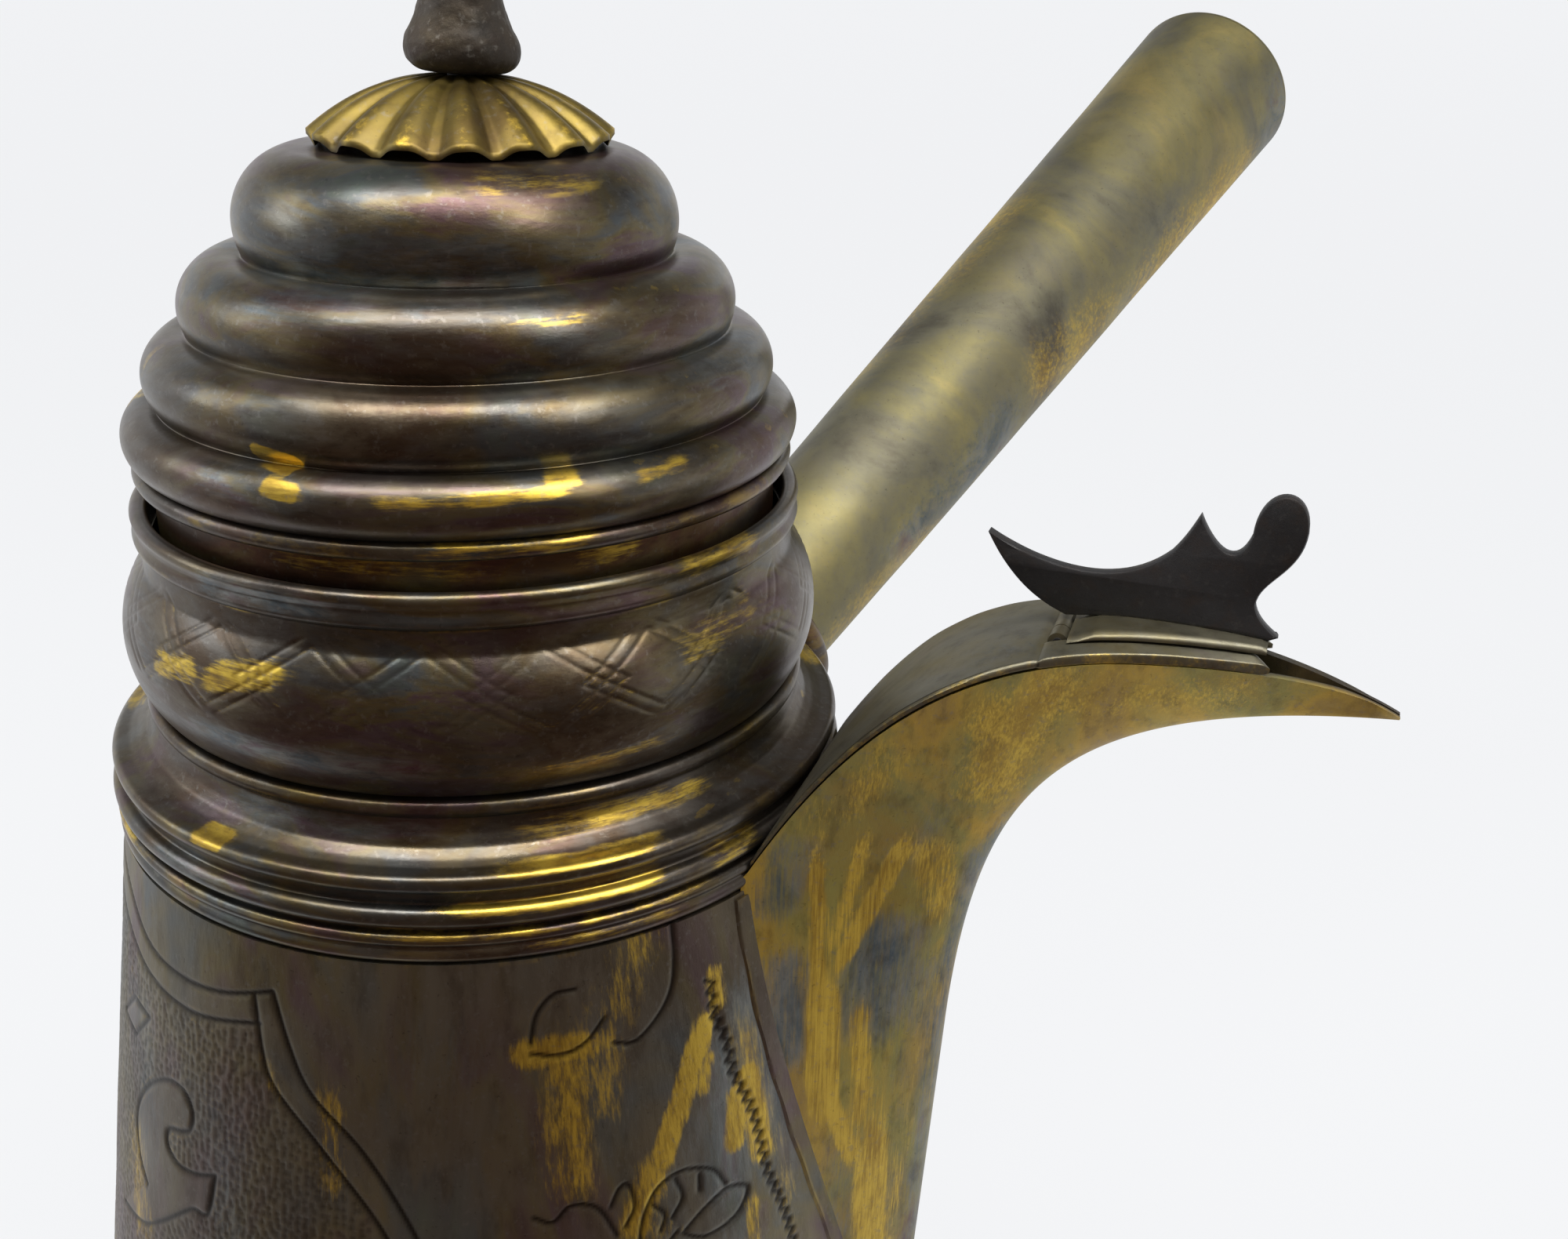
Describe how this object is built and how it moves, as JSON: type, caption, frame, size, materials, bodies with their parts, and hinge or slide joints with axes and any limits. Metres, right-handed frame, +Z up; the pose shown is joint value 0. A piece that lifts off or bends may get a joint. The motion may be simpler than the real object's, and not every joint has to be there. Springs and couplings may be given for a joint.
{
  "type": "coffee pot",
  "caption": "Brass coffee pot: conical body, folded beak spout with hinged crested flap, tubular side handle, ringed push-in lid with fluted rosette and finial.",
  "frame": {"origin": "centre of the flat underside of the base, on the body's axis", "axes": "+Z up along the body's axis, +X from the axis towards the tip of the spout; the handle lies at 70 degrees from +X towards +Y"},
  "size_m": [0.1595, 0.2377, 0.2239],
  "materials": {
    "body_brass": "patinated, satin, engraved",
    "spun_brass": "spun, dark patina with bright rubbed edges",
    "worn_brass": "rubbed brass, satin",
    "spout_brass": "brushed, ochre with violet stains",
    "spout_top_brass": "dull grey-olive brass",
    "handle_brass": "dull olive brass tube",
    "rosette_brass": "pressed thin sheet, bright",
    "cast_bronze": "rough cast copper alloy, matt dark brown",
    "dark_iron": "blackened, matt"
  },
  "bodies": {
    "pot": {"body_shell": "body_brass", "base_plate": "body_brass", "foot_wire": "worn_brass", "shoulder_ring": "spun_brass", "neck_collar": "spun_brass", "lip_roll": "spun_brass", "neck_sleeve": "body_brass", "spout_channel": "spout_brass", "spout_cover": "spout_top_brass", "cover_knuckles": "spout_top_brass", "flap_pin": "dark_iron", "handle_root_collar": "worn_brass", "handle_tube": "handle_brass", "handle_end_ring": "handle_brass", "handle_end_cap": "handle_brass"},
    "flap": {"spout_flap": "spout_top_brass", "flap_knuckle": "spout_top_brass", "flap_crest": "dark_iron"},
    "lid": {"lid_dome": "spun_brass", "lid_bead": "spun_brass", "lid_skirt": "worn_brass", "rosette": "rosette_brass", "finial": "cast_bronze", "finial_stud": "dark_iron", "finial_washer": "worn_brass", "finial_nut": "worn_brass"}
  },
  "joints": [
    {"name": "flap_hinge", "type": "hinge", "parent": "pot", "child": "flap", "pos_m": [0.0664, 0, 0.1431], "axis": [0, -1, 0], "range_deg": [0, 30]},
    {"name": "lid_lift", "type": "slide", "parent": "pot", "child": "lid", "axis": [0, 0, 1], "range_m": [0, 0.03]}
  ]
}
